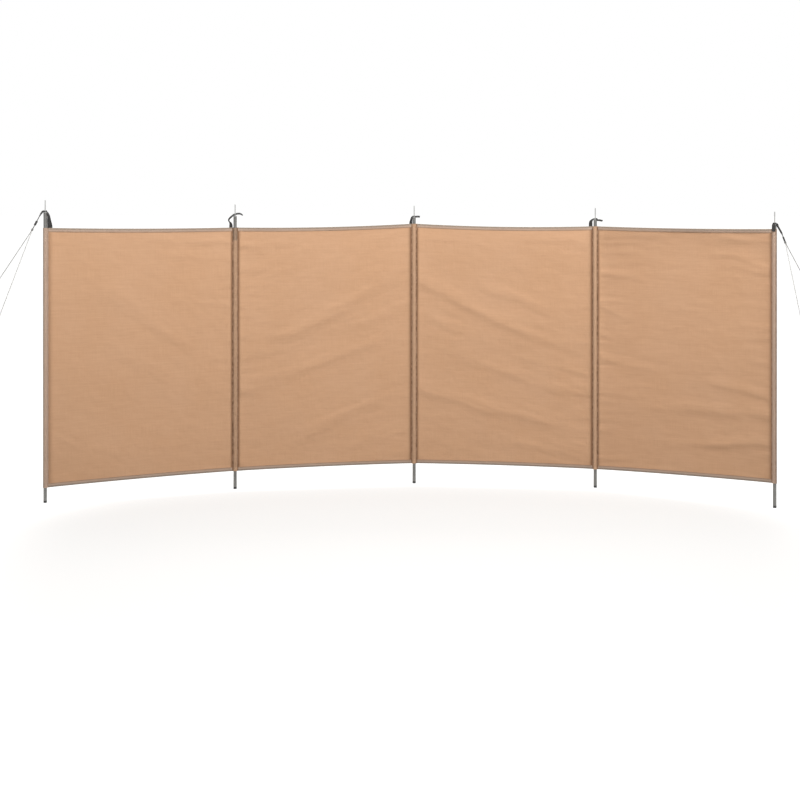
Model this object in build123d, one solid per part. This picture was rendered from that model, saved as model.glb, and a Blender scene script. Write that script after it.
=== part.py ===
from build123d import *
from math import asin, cos, radians, sin
import os

os.makedirs("parts", exist_ok=True)

# A beach windbreak: four cloth bays on five steel posts, stayed by two guys at each end.
# Millimetres, +Z up. The hollow side of its curve looks along -Y and posts count from the left.
# The origin is the middle of the foot of the middle post, on the ground.

# Layout of the bays, from left to right
bay_pitch = 1051.0
pitch_shares = (1.013, 0.993, 1.001, 0.992)  # of bay_pitch, in each bay
bay_bearings = (20.7, 9.1, -7.0, -31.3)  # degrees from +X
middle_post = 2

# Posts: a steel tube with a plug in its foot and a pin in its head
head_bare = 45.5
bare_shares = (1.9, 1.48, 0.88, 0.88, 0.6)  # of head_bare, how far each post stands out of the cloth
tube_d = 19.0
tube_wall = 1.2
plug_tall = 12.0
plug_chamfer = 1.0
spigot_long = 30.0
spigot_clear = 0.1
collar_tall = 3.0
seat_d = 8.0  # thicker foot of the pin, where eyelets lie
seat_tall = 8.0
pin_d = 6.0
pin_long = 66.0  # from the collar to the tip
pin_chamfer = 1.5

# Cloth: flat bays between sleeves that slide on the posts
cloth_tall = 1400.0
tall_shares = (1.016, 0.999, 1.003, 1.001, 0.978)  # of cloth_tall at each post, stretched or gathered
cloth_t = 2.0
cloth_clear = 106.0
clear_shares = (0.777, 0.966, 1.096, 1.0, 1.243)  # of cloth_clear, the gap under the cloth at each post
sleeve_half = 17.0  # from the post's middle to the seam beside it
sleeve_wall = 1.7
sleeve_clear = 0.3
hem_tall = 22.0
hem_t = 4.0
top_sag = 6.0
sag_shares = (0.85, 1.45, 1.75, 0.8)  # of top_sag, in each bay
bottom_bow = 4.0

# Webbing straps that hook the cloth to the pins
strap_wide = 16.0
strap_t = 2.0
strap_gap = 3.0  # between the strap and the side of its post
strap_tail = 46.0
hook_tail = 9.0  # past the pin, where a guy's loop lies on the strap
eyelet_clear = 0.3

# Guys: a webbing loop on each end pin, a lead with a runner, a knot, two ropes and their ground pegs
guy_d = 4.0
guy_reach = 1200.0
guy_sides = ("back", "front")
left_bearings = (162.0, 254.0)  # degrees from +X, of the back and the front rope
right_bearings = (35.0, -89.0)
guy_clear = 0.2
loop_wide = 16.0
loop_t = 2.0
loop_long = 20.0
loop_shares = {"left": 1.0, "right": 2.8}  # of loop_long, at each end
loop_bend = 8.0
lead_d = 5.0
lead_long = 86.0
lead_shares = {"left": 1.0, "right": 0.55}  # of lead_long, at each end
knot_d = 12.0
runner_long = 26.0
runner_wide = 12.0
runner_thick = 8.0
runner_round = 2.0
runner_share = 0.44  # of the lead, from its top to the runner
peg_d = 7.0
peg_tall = 70.0
peg_catch = 32.0  # height at which the rope takes hold
peg_hook_r = 11.0

overrun = 5.0  # of a cut past what it cuts

tube_r = tube_d / 2
seat_r = seat_d / 2
pin_r = pin_d / 2
guy_r = guy_d / 2
lead_r = lead_d / 2
knot_r = knot_d / 2
peg_r = peg_d / 2
sleeve_bore = tube_r + sleeve_clear
sleeve_bulge = sleeve_bore + sleeve_wall
post_count = len(bare_shares)
bay_count = len(bay_bearings)
end_posts = {"left": 0, "right": post_count - 1}
up = Vector(0, 0, 1)


def along(bearing, length):
    return Vector(length * cos(radians(bearing)), length * sin(radians(bearing)), 0)


def save(shape, node):
    export_step(shape, f"parts/{node}.step")


# Plan: the posts are set out from the middle one, a bay at a time
steps = [along(bearing, bay_pitch * share) for bearing, share in zip(bay_bearings, pitch_shares)]
feet = [Vector(0, 0, 0)]
for step in steps[middle_post:]:
    feet.append(feet[-1] + step)
for step in reversed(steps[:middle_post]):
    feet.insert(0, feet[0] - step)

# A sleeve lies halfway between the bearings of the bays beside it
turns = [bay_bearings[0]]
for before, after in zip(bay_bearings, bay_bearings[1:]):
    turns.append((before + after) / 2)
turns.append(bay_bearings[-1])

cloth_lows = [cloth_clear * share for share in clear_shares]
cloth_tops = [low + cloth_tall * share for low, share in zip(cloth_lows, tall_shares)]
heads = [top + head_bare * share for top, share in zip(cloth_tops, bare_shares)]


# Posts

def post_tube(head):
    long = head - collar_tall - plug_tall
    ring = Circle(tube_r) - Circle(tube_r - tube_wall)
    return Pos(0, 0, plug_tall) * extrude(ring, long)


def spigot():
    radius = tube_r - tube_wall - spigot_clear
    return Cylinder(radius, spigot_long, align=(Align.CENTER, Align.CENTER, Align.MIN))


def foot_plug():
    rim = Cylinder(tube_r, plug_tall, align=(Align.CENTER, Align.CENTER, Align.MIN))
    rim = chamfer(rim.edges().group_by(Axis.Z)[0], plug_chamfer)
    return rim + Pos(0, 0, plug_tall) * spigot()


def top_pin(head):
    collar = Cylinder(tube_r, collar_tall, align=(Align.CENTER, Align.CENTER, Align.MAX))
    pin = Cylinder(pin_r, pin_long, align=(Align.CENTER, Align.CENTER, Align.MIN))
    pin = chamfer(pin.edges().group_by(Axis.Z)[-1], pin_chamfer)
    seat = Cylinder(seat_r, seat_tall, align=(Align.CENTER, Align.CENTER, Align.MIN))
    return Pos(0, 0, head) * (collar + seat + pin + Pos(0, 0, -collar_tall - spigot_long) * spigot())


for post in range(post_count):
    stand = Pos(feet[post]) * Rot(0, 0, turns[post])
    save(stand * post_tube(heads[post]), f"post_{post + 1}")
    save(stand * foot_plug(), f"foot_plug_{post + 1}")
    save(stand * top_pin(heads[post]), f"top_pin_{post + 1}")


# Cloth

def sleeve_plan(post):
    tip = cloth_t / 2
    front = ThreePointArc((-sleeve_half, -tip), (0, -sleeve_bulge), (sleeve_half, -tip))
    back = ThreePointArc((-sleeve_half, tip), (0, sleeve_bulge), (sleeve_half, tip))
    right = Line((sleeve_half, -tip), (sleeve_half, tip))
    left = Line((-sleeve_half, -tip), (-sleeve_half, tip))
    plan = make_face(Wire([front, right, back, left]))
    sides = {0: Align.MIN, post_count - 1: Align.MAX}
    if post in sides:
        sewn = Rectangle(sleeve_half, 2 * sleeve_bulge, align=(sides[post], Align.CENTER))
        plan = (plan & sewn) + Circle(sleeve_bulge)
    return plan - Circle(sleeve_bore)


for post in range(post_count):
    sleeve = Pos(0, 0, cloth_lows[post]) * extrude(sleeve_plan(post), cloth_tops[post] - cloth_lows[post])
    save(Pos(feet[post]) * Rot(0, 0, turns[post]) * sleeve, f"sleeve_{post + 1}")


def bay_sheet(bay, thick, lows, highs, low_dip, high_dip):
    # Between the seams of two sleeves, with the heights of its two edges at each post
    start = feet[bay] + along(turns[bay], sleeve_half)
    end = feet[bay + 1] - along(turns[bay + 1], sleeve_half)
    span = (end - start).length
    run = (end - start).normalized()
    across = up.cross(run)

    def seam_slant(post):
        # How far the seam's face runs along the bay for each millimetre across it
        seam = along(turns[post], 1)
        return -seam.dot(across) / seam.dot(run)

    def side(offset):
        left = offset * seam_slant(bay)
        right = span + offset * seam_slant(bay + 1)

        def edge(heights, dip):
            from_z = heights[bay]
            to_z = heights[bay + 1]
            return ThreePointArc((left, from_z), (span / 2, (from_z + to_z) / 2 - dip), (right, to_z))

        bottom = edge(lows, low_dip)
        top = edge(highs, high_dip)
        outline = Wire([bottom, Line(bottom @ 1, top @ 1), top, Line(top @ 0, bottom @ 0)])
        return Plane(origin=start + across * offset, x_dir=run, z_dir=-across) * make_face(outline)

    return loft([side(-thick / 2), side(thick / 2)], ruled=True)


low_seams = [low + hem_tall for low in cloth_lows]
top_seams = [top - hem_tall for top in cloth_tops]
for bay in range(bay_count):
    sag = top_sag * sag_shares[bay]
    save(bay_sheet(bay, hem_t, cloth_lows, low_seams, -bottom_bow, -bottom_bow), f"bottom_hem_{bay + 1}")
    save(bay_sheet(bay, cloth_t, low_seams, top_seams, -bottom_bow, sag), f"cloth_panel_{bay + 1}")
    save(bay_sheet(bay, hem_t, top_seams, cloth_tops, sag, sag), f"top_hem_{bay + 1}")


# Straps: up from the sleeve, over the post's head and onto the pin

def top_strap(post):
    tail = hook_tail if post in end_posts.values() else strap_tail
    beside = tube_r + strap_gap + strap_t / 2
    over = heads[post] + strap_t / 2
    foot = (beside, 0, cloth_tops[post])
    route = FilletPolyline(foot, (beside, 0, over), (-tail, 0, over), radius=strap_gap + strap_t / 2)
    section = Plane(origin=foot, x_dir=(0, 1, 0), z_dir=up) * Rectangle(strap_wide, strap_t)
    hole = Pos(0, 0, over) * Cylinder(seat_r + eyelet_clear, strap_t + overrun)
    return sweep(section, route) - hole


for post in range(post_count):
    away = 0 if post == end_posts["left"] else 180
    stand = Pos(feet[post]) * Rot(0, 0, turns[post] + away)
    save(stand * top_strap(post), f"top_strap_{post + 1}")


# Guys

def loop_pull(pin_top, catches):
    # The way the two ropes pull together, as a unit vector
    pull = Vector(0, 0, 0)
    for catch in catches:
        pull = pull + (catch - pin_top).normalized()
    return pull.normalized()


def taut_rope(start, end, radius):
    way = (end - start).normalized()
    return extrude(Plane(origin=start, z_dir=way) * Circle(radius), (end - start).length)


def runner(rest, way):
    # A rounded block that slides on the lead
    block = Box(runner_wide, runner_thick, runner_long, align=(Align.CENTER, Align.CENTER, Align.MIN))
    block = fillet(block.edges().filter_by(Axis.Z), runner_round)
    bore = Cylinder(lead_r + guy_clear, 2 * runner_long + overrun)
    return Plane(origin=rest, x_dir=way.cross(up).normalized(), z_dir=way) * (block - bore)


def ground_peg(bearing):
    # A bent rod whose hook turns away from the windbreak
    straight = peg_tall - peg_hook_r - peg_r
    shaft = Line((0, 0, 0), (0, 0, straight))
    crown = (peg_hook_r, 0, straight + peg_hook_r)
    bend = ThreePointArc((0, 0, straight), crown, (2 * peg_hook_r, 0, straight))
    return Rot(0, 0, bearing) * sweep(Circle(peg_r), Wire([shaft, bend]))


for end, post in end_posts.items():
    bearings = left_bearings if end == "left" else right_bearings
    pegs = [feet[post] + along(bearing, guy_reach) for bearing in bearings]
    catches = [peg + up * peg_catch for peg in pegs]
    pin_top = feet[post] + up * (heads[post] + strap_t + loop_t / 2)
    pull = loop_pull(pin_top, catches)
    flat = Vector(pull.X, pull.Y, 0).normalized()
    across = flat.cross(up)

    # The loop: an eyelet on the pin and a tongue that points down the pull
    loop_start = pin_top - flat * hook_tail
    loop_turn = pin_top + flat * (tube_r + loop_bend)
    loop_end = loop_turn + pull * (loop_long * loop_shares[end])
    route = FilletPolyline(loop_start, loop_turn, loop_end, radius=loop_bend)
    section = Plane(origin=loop_start, x_dir=across, z_dir=flat) * Rectangle(loop_wide, loop_t)
    hole = Pos(pin_top) * Cylinder(seat_r + eyelet_clear, loop_t + overrun)
    save(sweep(section, route) - hole, f"guy_loop_{end}")

    # The lead runs on down the pull, through its runner, to the knot where the ropes part
    lead_top = loop_end + pull * guy_clear
    lead = lead_long * lead_shares[end]
    lead_end = lead_top + pull * lead
    knot = lead_end + pull * (guy_clear + knot_r)
    save(taut_rope(lead_top, lead_end, lead_r), f"guy_lead_{end}")
    save(runner(lead_top + pull * (lead * runner_share), pull), f"runner_{end}")
    save(Pos(knot) * Sphere(knot_r), f"guy_knot_{end}")

    for side, bearing, peg, catch in zip(guy_sides, bearings, pegs, catches):
        # The rope stops short of the peg by its own slant there
        way = (catch - knot).normalized()
        drop = asin(-way.Z)
        rope_top = knot + way * (knot_r + guy_clear)
        rope_end = catch - way * ((peg_r + guy_r * sin(drop)) / cos(drop) + guy_clear)
        save(taut_rope(rope_top, rope_end, guy_r), f"guy_{end}_{side}")
        save(Pos(peg) * ground_peg(bearing), f"peg_{end}_{side}")
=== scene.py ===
import math
import bpy
import numpy as np
from mathutils import Matrix, Vector, noise


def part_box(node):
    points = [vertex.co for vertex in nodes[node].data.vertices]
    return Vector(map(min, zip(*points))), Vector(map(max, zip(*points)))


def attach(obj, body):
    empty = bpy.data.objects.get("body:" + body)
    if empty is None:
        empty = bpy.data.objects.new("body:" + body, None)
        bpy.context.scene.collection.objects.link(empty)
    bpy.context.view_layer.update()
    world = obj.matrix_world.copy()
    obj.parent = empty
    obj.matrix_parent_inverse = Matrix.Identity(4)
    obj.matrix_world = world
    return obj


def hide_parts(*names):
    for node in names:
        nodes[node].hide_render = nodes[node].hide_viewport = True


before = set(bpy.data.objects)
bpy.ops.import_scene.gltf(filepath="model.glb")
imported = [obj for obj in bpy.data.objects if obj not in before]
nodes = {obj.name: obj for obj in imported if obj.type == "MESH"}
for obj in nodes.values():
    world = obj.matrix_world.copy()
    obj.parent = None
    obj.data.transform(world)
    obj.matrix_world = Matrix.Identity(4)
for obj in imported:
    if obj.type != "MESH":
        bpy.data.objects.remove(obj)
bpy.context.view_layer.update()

# Metres, +Z up. The hollow side of the windbreak looks along -Y and posts count from the left.
up = Vector((0, 0, 1))
mm = 0.001


# Places, all read from the parts of model.glb

postNames = sorted(n for n in nodes if n.startswith("post_"))
postCount = len(postNames)
bayCount = postCount - 1
lastPost = postCount - 1
pinLong = 66 * mm     # from the post's head to the pin's tip


def middleOf(node):
    low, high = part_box(node)
    return (low + high) / 2


def along(bearing, length=1):
    return Vector((length * math.cos(bearing), length * math.sin(bearing), 0))


feet = [Vector((middleOf(n).x, middleOf(n).y, 0)) for n in postNames]
sleeveLows = [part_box(f"sleeve_{n + 1}")[0].z for n in range(postCount)]
sleeveTops = [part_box(f"sleeve_{n + 1}")[1].z for n in range(postCount)]
heads = [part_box(f"top_pin_{n + 1}")[1].z - pinLong for n in range(postCount)]
bayBearings = []
for here, there in zip(feet, feet[1:]):
    bayBearings.append(math.atan2(there.y - here.y, there.x - here.x))
turns = [bayBearings[0]]
for before, after in zip(bayBearings, bayBearings[1:]):
    turns.append((before + after) / 2)
turns.append(bayBearings[-1])


def postAxes(post):
    # Along the row at a post, and to the back
    run = along(turns[post])
    return run, up.cross(run)


print("places read for", postCount, "posts and", bayCount, "bays")


# Small tools

def clearSelection():
    if bpy.context.mode != "OBJECT":
        bpy.ops.object.mode_set(mode="OBJECT")
    bpy.ops.object.select_all(action="DESELECT")


def focus(obj):
    clearSelection()
    obj.select_set(True)
    bpy.context.view_layer.objects.active = obj


def openMesh(obj):
    focus(obj)
    bpy.ops.object.mode_set(mode="EDIT")
    bpy.ops.mesh.select_all(action="SELECT")


def closeMesh():
    bpy.ops.object.mode_set(mode="OBJECT")


def stretch(obj, size):
    # Scales the mesh itself
    openMesh(obj)
    bpy.ops.transform.resize(value=size)
    closeMesh()


def outward(obj):
    openMesh(obj)
    bpy.ops.mesh.normals_make_consistent(inside=False)
    closeMesh()


def applyModifiers(obj):
    focus(obj)
    for modifier in list(obj.modifiers):
        bpy.ops.object.modifier_apply(modifier=modifier.name)


def thicken(obj, thick, offset):
    solid = obj.modifiers.new("thickness", "SOLIDIFY")
    solid.thickness = thick
    solid.offset = offset
    applyModifiers(obj)


def settle(obj):
    # Place, turn and scale go into the mesh
    focus(obj)
    bpy.ops.object.transform_apply(location=True, rotation=True, scale=True)


def facing(way, axis="Z"):
    return Vector(way).to_track_quat(axis, "Y").to_euler()


def smoothShade(obj, angle):
    focus(obj)
    bpy.ops.object.shade_smooth_by_angle(angle=math.radians(angle))


def joinInto(name, parts):
    clearSelection()
    for part in parts:
        part.select_set(True)
    bpy.context.view_layer.objects.active = parts[0]
    bpy.ops.object.join()
    parts[0].name = name
    parts[0].data.name = name
    return parts[0]


def finishPiece(obj, finish, slot, *replaced):
    obj.data.materials.clear()
    obj.data.materials.append(finish)
    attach(obj, "root")
    if replaced:
        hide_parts(*replaced)
    return obj


def meshPiece(name, points, faces, uvs):
    # A mesh with a flat map, in metres, from one place a point
    mesh = bpy.data.meshes.new(name)
    mesh.from_pydata(points.tolist(), [], faces)
    mesh.update()
    layer = mesh.uv_layers.new(name="flat")
    corner = np.zeros(len(mesh.loops), np.int32)
    mesh.loops.foreach_get("vertex_index", corner)
    layer.data.foreach_set("uv", uvs[corner].astype(np.float32).ravel())
    piece = bpy.data.objects.new(name, mesh)
    bpy.context.scene.collection.objects.link(piece)
    return piece


def skinRows(name, rows, uvRows, loop=True, caps=True):
    # Quads between rows of points; loop closes each row, caps closes the two ends
    rows = np.asarray(rows, float)
    count, around = rows.shape[:2]
    wrap = around if loop else around - 1
    i, j = np.meshgrid(np.arange(count - 1), np.arange(wrap), indexing="ij")
    here, there = i * around, (i + 1) * around
    nextJ = (j + 1) % around
    quads = np.stack([here + j, here + nextJ, there + nextJ, there + j], -1)
    faces = quads.reshape(-1, 4).tolist()
    if loop and caps:
        faces.append(list(range(around - 1, -1, -1)))
        faces.append(list(range((count - 1) * around, count * around)))
    piece = meshPiece(name, rows.reshape(-1, 3), faces, np.asarray(uvRows, float).reshape(-1, 2))
    if loop:
        outward(piece)
    return piece


def smoothPath(points, step):
    # A soft line through the points, with samples about one step apart
    points = np.asarray(points, float)
    padded = np.vstack([2 * points[0] - points[1], points, 2 * points[-1] - points[-2]])
    line = []
    for k in range(1, len(padded) - 2):
        a, b, c, d = padded[k - 1:k + 3]
        pieces = max(2, int(np.linalg.norm(c - b) / step))
        for t in np.arange(pieces) / pieces:
            line.append(0.5 * (2 * b + (c - a) * t + (2 * a - 5 * b + 4 * c - d) * t ** 2
                               + (3 * b - a - 3 * c + d) * t ** 3))
    line.append(points[-1])
    return np.array(line)


def distances(line):
    # How far along the line each of its points lies
    steps = np.linalg.norm(np.diff(line, axis=0), axis=1)
    return np.concatenate([[0], np.cumsum(steps)])


def tangents(line):
    ways = np.gradient(line, axis=0)
    return ways / np.linalg.norm(ways, axis=1)[:, None]


def easeStep(low, high, x):
    t = np.clip((x - low) / (high - low), 0, 1)
    return t * t * (3 - 2 * t)


seedSteps = (7.3, 3.1, 5.7)   # between the noises of two seeds


def noiseOver(look, *places):
    # Soft noise at three arrays of places, in their shape; look is its three scales and its seed
    scales, seed = look
    shift = Vector([seed * step for step in seedSteps])
    places = np.broadcast_arrays(*(place * scale for place, scale in zip(places, scales)))
    values = [noise.noise(Vector(p) + shift) for p in np.stack(places, -1).reshape(-1, 3)]
    return np.reshape(values, places[0].shape)


# Tools for finishes

noiseSpan = (0.3, 0.7)   # in which most values of a noise lie
waveSpan = (-1, 1)
whole = (0, 1)


def linear(r, g, b):
    def one(c):
        c = c / 255
        return c / 12.92 if c <= 0.04045 else ((c + 0.055) / 1.055) ** 2.4
    return (one(r), one(g), one(b), 1)


def newFinish(name):
    finish = bpy.data.materials.new(name)
    finish.use_nodes = True
    return finish, finish.node_tree, finish.node_tree.nodes["Principled BSDF"]


def addNode(tree, kind, inputs=None, **settings):
    made = tree.nodes.new(kind)
    for key, value in settings.items():
        setattr(made, key, value)
    for key, value in (inputs or {}).items():
        feed(tree, made.inputs[key], value)
    return made


def feed(tree, socket, value):
    # A constant stays on the socket itself, anything else is wired to it
    if isinstance(value, (int, float, tuple)):
        socket.default_value = value
    else:
        tree.links.new(value, socket)


def setSockets(tree, shader, sockets):
    for name, value in sockets.items():
        feed(tree, shader.inputs[name], value)


def mathNode(tree, operation, *values):
    return addNode(tree, "ShaderNodeMath", dict(enumerate(values)), operation=operation).outputs[0]


def mixColour(tree, factor, *tones):
    # Tones are red, green and blue from 0 to 255, or the colour of another node
    first, second = (linear(*tone) if isinstance(tone, tuple) else tone for tone in tones)
    return addNode(tree, "ShaderNodeMix", {0: factor, 6: first, 7: second}, data_type="RGBA").outputs[2]


def noiseOn(tree, vector, scale, detail, rough=0.55):
    # Three scales stretch the noise
    if isinstance(scale, tuple):
        vector = addNode(tree, "ShaderNodeMapping", {"Vector": vector, "Scale": scale}).outputs[0]
        scale = 1
    settings = {"Vector": vector, "Scale": scale, "Detail": detail, "Roughness": rough}
    return addNode(tree, "ShaderNodeTexNoise", settings).outputs["Fac"]


def spread(tree, value, span, toSpan, ease="LINEAR"):
    limits = dict(enumerate((value, *span, *toSpan)))
    return addNode(tree, "ShaderNodeMapRange", limits, interpolation_type=ease).outputs[0]


def bumpFrom(tree, shader, height, bump, below=None):
    strength, distance = bump
    made = addNode(tree, "ShaderNodeBump", {"Strength": strength, "Distance": distance, "Height": height})
    if below is not None:
        feed(tree, made.inputs["Normal"], below)
    feed(tree, shader.inputs["Normal"], made.outputs[0])
    return made.outputs[0]


def flatMap(tree):
    # The piece's own map, and how far it runs along and across
    flat = addNode(tree, "ShaderNodeUVMap", uv_map="flat").outputs[0]
    parts = addNode(tree, "ShaderNodeSeparateXYZ", {0: flat})
    return flat, parts.outputs[0], parts.outputs[1]


def objectPlace(tree):
    return addNode(tree, "ShaderNodeTexCoord").outputs["Object"]


def ripples(tree, distance, pitch):
    return mathNode(tree, "SINE", mathNode(tree, "MULTIPLY", distance, 2 * math.pi / pitch))


# Finishes. In each look a noise is its scale, detail and roughness, and a bump its strength and height.

clothLook = {
    "thread": 1.1 * mm,
    "deep": (198, 154, 118),
    "light": (209, 166, 131),
    "slubUp": ((700, 9, 1), 2),
    "slubAcross": ((9, 700, 1), 2),
    "slubSpan": (0.7, 1.3),
    "faded": (212, 171, 139),
    "cloudNoise": (3.2, 4),
    "cloud": 0.35,
    # The darker colour between the threads, painted shade in the weave's gaps, and its strength; the fine
    # random streaks take this colour too
    "gap": (172, 128, 94),
    "weave": 0.12,
    "streakNoise": ((6, 105, 1), 3, 0.65),
    "streak": 0.17,
    # Colour and strength of the painted shade in creases and seam valleys
    "paintedCreaseShade": (112, 78, 52),
    "creaseShade": 0.92,
    "rough": (0.78, 0.92),
    "specular": 0.25,
    "sheen": 0.15,
    "sheenRough": 0.5,
    "crumpleNoise": (26, 3),
    "crumpleBump": (0.35, 4 * mm),
    "threadBump": (0.25, 0.3 * mm),
}
# The middle sleeves: the cloth a touch darker and greyer, as painted shade for the light from above that
# they lose, and deeper painted shade in their creases
shadedSleeveLook = dict(clothLook, deep=(190, 153, 122), light=(203, 167, 137), faded=(205, 172, 146), cloud=0.25,
                  paintedCreaseShade=(104, 73, 48), creaseShade=0.95)
endSleeveLook = dict(clothLook, deep=(176, 152, 134), light=(190, 166, 149), faded=(190, 168, 152),
                     cloud=0.25)
# The dark brown of the shade inside the open mouth of a sleeve: painted shade
liningShadeLook = dict(clothLook, deep=(140, 117, 98), light=(152, 131, 112), faded=(152, 134, 116), cloud=0.25)


def wovenFinish(name, look):
    # Plain weave, with painted shade mixed in where the crease shade map says so, in the creases and seam
    # valleys
    finish, tree, shader = newFinish(name)
    flat, lengthwise, crosswise = flatMap(tree)
    warp = ripples(tree, lengthwise, look["thread"])
    weft = ripples(tree, crosswise, look["thread"])
    weave = mathNode(tree, "MULTIPLY", warp, weft)
    slubUp = noiseOn(tree, flat, *look["slubUp"])
    slubAcross = noiseOn(tree, flat, *look["slubAcross"])
    slub = mathNode(tree, "ADD", slubUp, slubAcross)
    streak = noiseOn(tree, flat, *look["streakNoise"])
    cloud = noiseOn(tree, flat, *look["cloudNoise"])
    paintedCreaseShade = addNode(tree, "ShaderNodeAttribute", attribute_name="paintedCreaseShade").outputs["Fac"]
    tone = mixColour(tree, spread(tree, slub, look["slubSpan"], whole), look["deep"], look["light"])
    tone = mixColour(tree, spread(tree, cloud, noiseSpan, (0, look["cloud"])), tone, look["faded"])
    # Painted shade in the gaps between the threads
    tone = mixColour(tree, spread(tree, weave, waveSpan, (0, look["weave"])), tone, look["gap"])
    tone = mixColour(tree, spread(tree, streak, noiseSpan, (0, look["streak"])), tone, look["gap"])
    # Painted shade in the creases and seam valleys
    tone = mixColour(tree, mathNode(tree, "MULTIPLY", paintedCreaseShade, look["creaseShade"]), tone, look["paintedCreaseShade"])
    setSockets(tree, shader, {
        "Base Color": tone,
        "Roughness": spread(tree, slub, look["slubSpan"], look["rough"]),
        "Specular IOR Level": look["specular"],
        "Sheen Weight": look["sheen"],
        "Sheen Roughness": look["sheenRough"],
    })
    crumple = noiseOn(tree, flat, *look["crumpleNoise"])
    soft = bumpFrom(tree, shader, crumple, look["crumpleBump"])
    bumpFrom(tree, shader, mathNode(tree, "ADD", weave, slub), look["threadBump"], soft)
    return finish


clothTan = wovenFinish("clothTan", clothLook)
sleeveTanShaded = wovenFinish("sleeveTanShaded", shadedSleeveLook)
sleeveGrey = wovenFinish("sleeveGrey", endSleeveLook)
liningPaintedShade = wovenFinish("liningPaintedShade", liningShadeLook)

bindingLook = {
    "rib": 1.6 * mm,
    "edge": (150, 134, 119),
    "edgeAt": 0.34,           # of the way from the folded edge to the sewn one
    "body": (190, 165, 147),
    "bodyAt": 0.56,
    # Darker brown by the sewn edge: the stitch line's own colour, with painted shadow where the tape's edge
    # meets the cloth
    "foot": (168, 136, 113),
    "footAt": 0.93,
    "wornNoise": ((34, 3, 1), 3),
    "wornSpan": (0.35, 0.7),
    "worn": 0.3,
    "groove": (96, 78, 64),
    "grooveShade": 0.14,
    "rough": (0.72, 0.88),
    "specular": 0.3,
    "sheen": 0.1,
    "bump": (0.4, 0.4 * mm),
}


def bindingFinish(name, look):
    # Ribbed tape: the map runs along it, and across it from the folded edge, 0, to the sewn edge, 1
    finish, tree, shader = newFinish(name)
    flat, lengthwise, crosswise = flatMap(tree)
    ribs = ripples(tree, lengthwise, look["rib"])
    ramp = addNode(tree, "ShaderNodeValToRGB", {0: crosswise})
    stops = ramp.color_ramp.elements
    stops.new(look["footAt"])
    for stop, part in zip(stops, ("edge", "body", "foot")):
        stop.position = look[part + "At"]
        stop.color = linear(*look[part])
    worn = noiseOn(tree, flat, *look["wornNoise"])
    wear = spread(tree, worn, look["wornSpan"], (0, look["worn"]))
    tone = mixColour(tree, wear, ramp.outputs[0], look["body"])
    tone = mixColour(tree, spread(tree, ribs, waveSpan, (0, look["grooveShade"])), tone, look["groove"])
    setSockets(tree, shader, {
        "Base Color": tone,
        "Roughness": spread(tree, worn, noiseSpan, look["rough"]),
        "Specular IOR Level": look["specular"],
        "Sheen Weight": look["sheen"],
    })
    bumpFrom(tree, shader, ribs, look["bump"])
    return finish


bindingGrey = bindingFinish("bindingGrey", bindingLook)

webbingLook = {
    "wornNoise": (160, 3),
    "wornSpan": (0.4, 0.75),
    "rough": (0.6, 0.8),
    "sheen": 0.05,
    "bump": (0.5, 0.5 * mm),
}


def webbingFinish(name, dark, light, rib):
    # Tight ribs across the tape and a lighter rubbed fuzz
    look = webbingLook
    finish, tree, shader = newFinish(name)
    flat, lengthwise, crosswise = flatMap(tree)
    weave = mathNode(tree, "MULTIPLY", ripples(tree, lengthwise, rib), ripples(tree, crosswise, rib))
    worn = noiseOn(tree, flat, *look["wornNoise"])
    setSockets(tree, shader, {
        "Base Color": mixColour(tree, spread(tree, worn, look["wornSpan"], whole), dark, light),
        "Roughness": spread(tree, worn, noiseSpan, look["rough"]),
        "Sheen Weight": look["sheen"],
    })
    bumpFrom(tree, shader, weave, look["bump"])
    return finish


webbingBlack = webbingFinish("webbingBlack", (22, 21, 20), (44, 42, 40), 1.8 * mm)
ropePale = webbingFinish("ropePale", (176, 175, 171), (208, 207, 203), 1.2 * mm)
leadDark = webbingFinish("leadDark", (44, 44, 43), (78, 77, 75), 1.2 * mm)
knotGrey = webbingFinish("knotGrey", (112, 111, 108), (146, 145, 142), 1.2 * mm)
threadTan = webbingFinish("threadTan", (150, 116, 88), (172, 138, 108), 0.4 * mm)

metalLook = {
    "stainNoise": (38, 4),
    "stainSpan": (0.35, 0.7),
    "detail": 3,
    "groove": (60, 60, 60),
    "grooveShade": 0.18,
    "smoother": 0.06,
    "rougher": 0.1,
    "bump": (0.2, 0.3 * mm),
}


def metalFinish(name, base, dull, rough, grain):
    # Drawn metal with faint stains; grain is the scale of its lines
    look = metalLook
    finish, tree, shader = newFinish(name)
    place = objectPlace(tree)
    drawn = noiseOn(tree, place, grain, look["detail"])
    stain = noiseOn(tree, place, *look["stainNoise"])
    tone = mixColour(tree, spread(tree, stain, look["stainSpan"], whole), base, dull)
    tone = mixColour(tree, spread(tree, drawn, noiseSpan, (0, look["grooveShade"])), tone, look["groove"])
    setSockets(tree, shader, {
        "Base Color": tone,
        "Roughness": spread(tree, drawn, noiseSpan, (rough - look["smoother"], rough + look["rougher"])),
        "Metallic": 1.0,
    })
    bumpFrom(tree, shader, drawn, look["bump"])
    return finish


mouldedLook = {
    "grainNoise": (1900, 2),
    "scuffNoise": (120, 4),
    "scuffSpan": (0.5, 0.75),
    "rougher": 0.16,
    "bump": (0.25, 0.3 * mm),
}


def mouldedFinish(name, base, pale, rough):
    # Moulded plastic with a fine spark grain and scuffs
    look = mouldedLook
    finish, tree, shader = newFinish(name)
    place = objectPlace(tree)
    grain = noiseOn(tree, place, *look["grainNoise"])
    scuff = noiseOn(tree, place, *look["scuffNoise"])
    setSockets(tree, shader, {
        "Base Color": mixColour(tree, spread(tree, scuff, look["scuffSpan"], whole), base, pale),
        "Roughness": spread(tree, scuff, noiseSpan, (rough, rough + look["rougher"])),
    })
    bumpFrom(tree, shader, grain, look["bump"])
    return finish


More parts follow.
